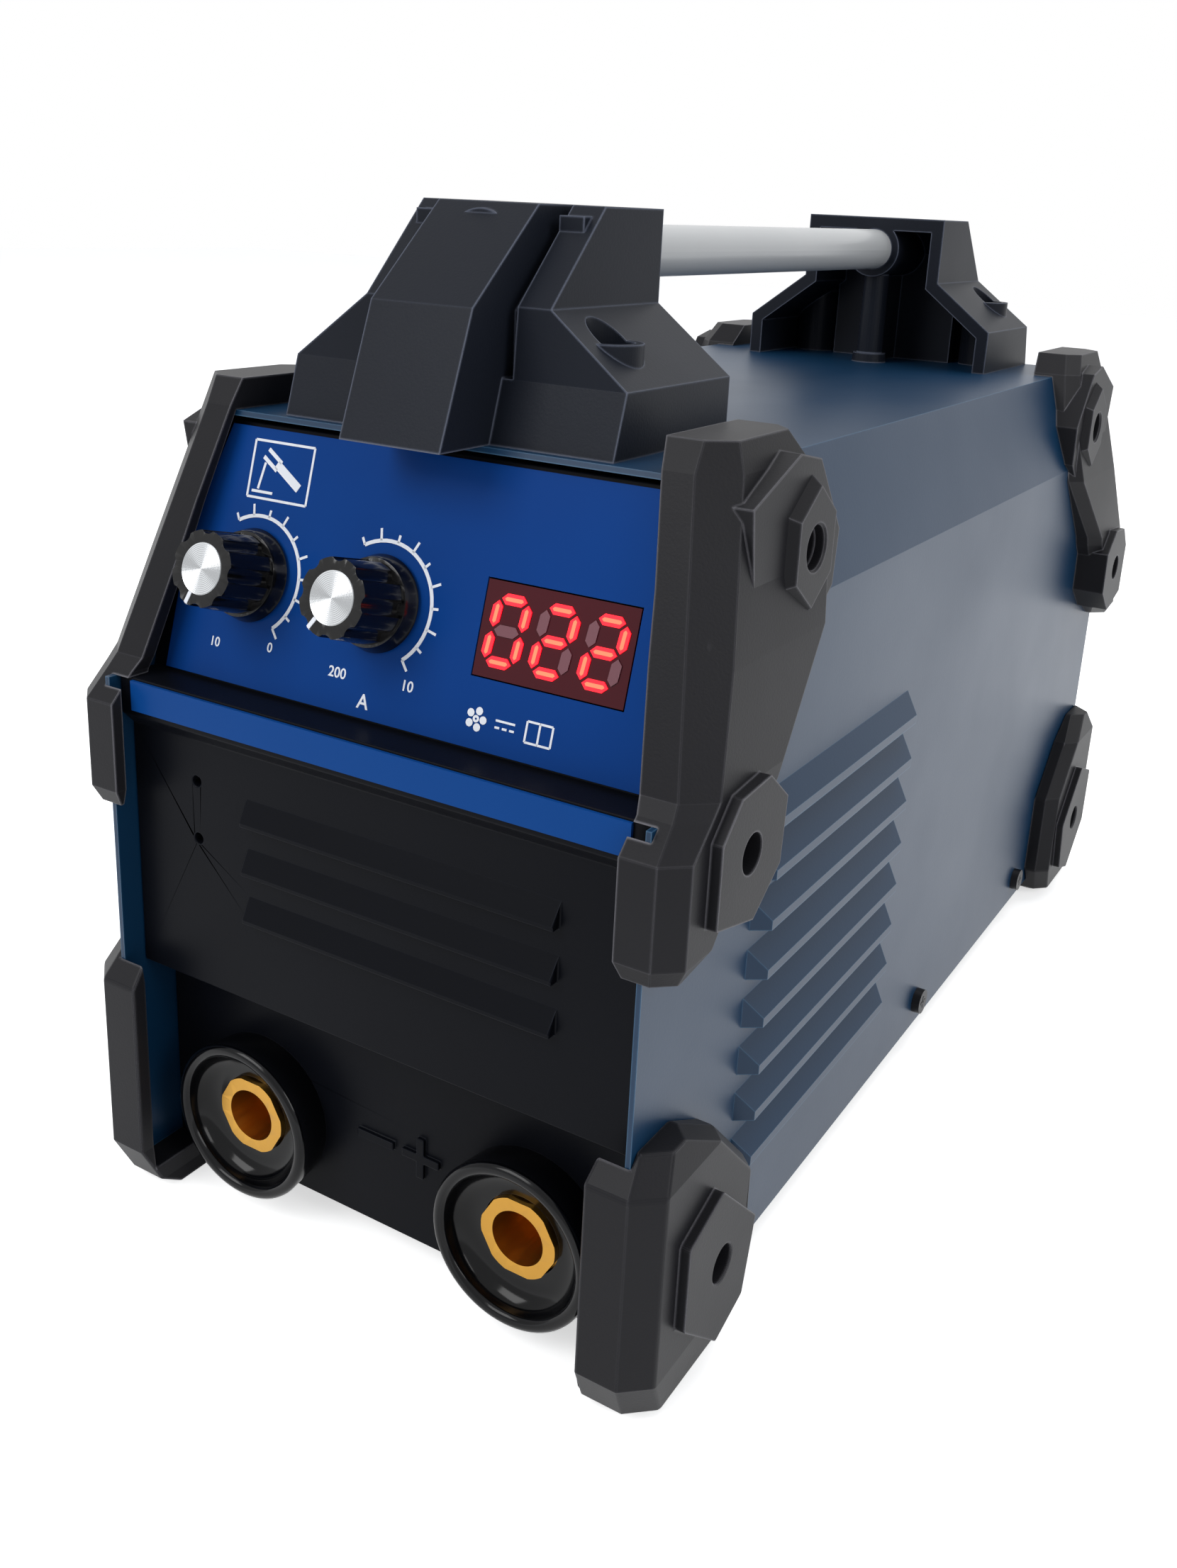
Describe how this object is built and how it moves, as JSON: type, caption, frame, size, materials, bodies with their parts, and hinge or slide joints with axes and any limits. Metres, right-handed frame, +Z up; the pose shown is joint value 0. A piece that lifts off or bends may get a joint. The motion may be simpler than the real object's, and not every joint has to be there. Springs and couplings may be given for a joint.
{
  "type": "stick welding inverter",
  "caption": "Compact stick welding inverter in a folded steel case with moulded corner guards, a tube carrying handle, current and arc-force knobs, digital display and two panel sockets.",
  "frame": {"origin": "on the ground, midway between the four foot guards, below the middle of the case", "axes": "+X to the right as the operator faces the controls, +Y from the controls towards the fan end, +Z up"},
  "size_m": [0.161, 0.348, 0.238],
  "materials": {
    "case_paint": "satin powder coat",
    "black_paint": "fine-textured powder coat",
    "control_film": "satin overlay film",
    "guard_plastic": "moulded",
    "bracket_plastic": "moulded",
    "tube_paint": "satin",
    "knob_plastic": "polished moulding",
    "cap_aluminium": "spun",
    "plated_steel": "zinc plated",
    "socket_plastic": "polished moulding",
    "socket_brass": "turned",
    "copper": "drawn",
    "display_black": "smooth",
    "display_red": "smooth",
    "circuit_board": "solder mask",
    "heatsink_aluminium": "extruded",
    "component_black": "moulded",
    "ferrite": "sintered",
    "fan_plastic": "moulded",
    "switch_plastic": "moulded",
    "rocker_red": "polished moulding"
  },
  "bodies": {
    "root": {"arc_force_potentiometer": "plated_steel", "base_tray": "black_paint", "board_posts": "socket_brass", "bridge_rectifier": "component_black", "busbar_negative": "copper", "busbar_positive": "copper", "cable_gland": "switch_plastic", "control_board": "circuit_board", "control_label": "control_film", "corner_guard_front_left": "guard_plastic", "corner_guard_front_right": "guard_plastic", "corner_guard_rear_left": "guard_plastic", "corner_guard_rear_right": "guard_plastic", "cover": "case_paint", "cover_screws": "plated_steel", "current_potentiometer": "plated_steel", "display_header": "display_black", "display_lens": "display_red", "display_module": "display_black", "earth_stud": "socket_brass", "fan_frame": "fan_plastic", "fan_screws": "plated_steel", "filter_capacitors": "component_black", "foot_guard_front_left": "guard_plastic", "foot_guard_front_right": "guard_plastic", "foot_guard_rear_left": "guard_plastic", "foot_guard_rear_right": "guard_plastic", "front_panel": "black_paint", "gland_nut": "switch_plastic", "guard_screws": "plated_steel", "handle_bracket_front": "bracket_plastic", "handle_bracket_rear": "bracket_plastic", "handle_screws": "plated_steel", "handle_tube": "tube_paint", "heatsink_left": "heatsink_aluminium", "heatsink_right": "heatsink_aluminium", "main_board": "circuit_board", "output_choke": "copper", "power_switch_body": "switch_plastic", "power_transistors": "component_black", "rear_panel": "black_paint", "socket_collar_negative": "socket_plastic", "socket_collar_positive": "socket_plastic", "socket_insert_negative": "socket_brass", "socket_insert_positive": "socket_brass", "socket_nut_negative": "socket_brass", "socket_nut_positive": "socket_brass", "soft_start_relay": "component_black", "transformer_core": "ferrite", "transformer_winding": "copper", "trim_strip": "control_film"},
    "current_control": {"current_knob": "knob_plastic", "current_knob_cap": "cap_aluminium", "current_shaft": "plated_steel"},
    "arc_force_control": {"arc_force_knob": "knob_plastic", "arc_force_knob_cap": "cap_aluminium", "arc_force_shaft": "plated_steel"},
    "fan_wheel": {"fan_rotor": "fan_plastic"},
    "switch_rocker": {"power_switch_rocker": "rocker_red"}
  },
  "joints": [
    {"name": "current_knob_turn", "type": "hinge", "parent": "root", "child": "current_control", "pos_m": [-0.0071, -0.15785, 0.15914], "axis": [0, -0.9615, 0.2747], "range_deg": [-286, 14]},
    {"name": "arc_force_knob_turn", "type": "hinge", "parent": "root", "child": "arc_force_control", "pos_m": [-0.0429, -0.15785, 0.15914], "axis": [0, -0.9615, 0.2747], "range_deg": [-300, 0]},
    {"name": "fan_spin", "type": "hinge", "parent": "root", "child": "fan_wheel", "pos_m": [0, 0.14, 0.063], "axis": [0, 1, 0], "continuous": true},
    {"name": "power_switch_rock", "type": "hinge", "parent": "root", "child": "switch_rocker", "pos_m": [0.036, 0.15124, 0.16015], "axis": [1, 0, 0], "range_deg": [-18, 0]}
  ]
}
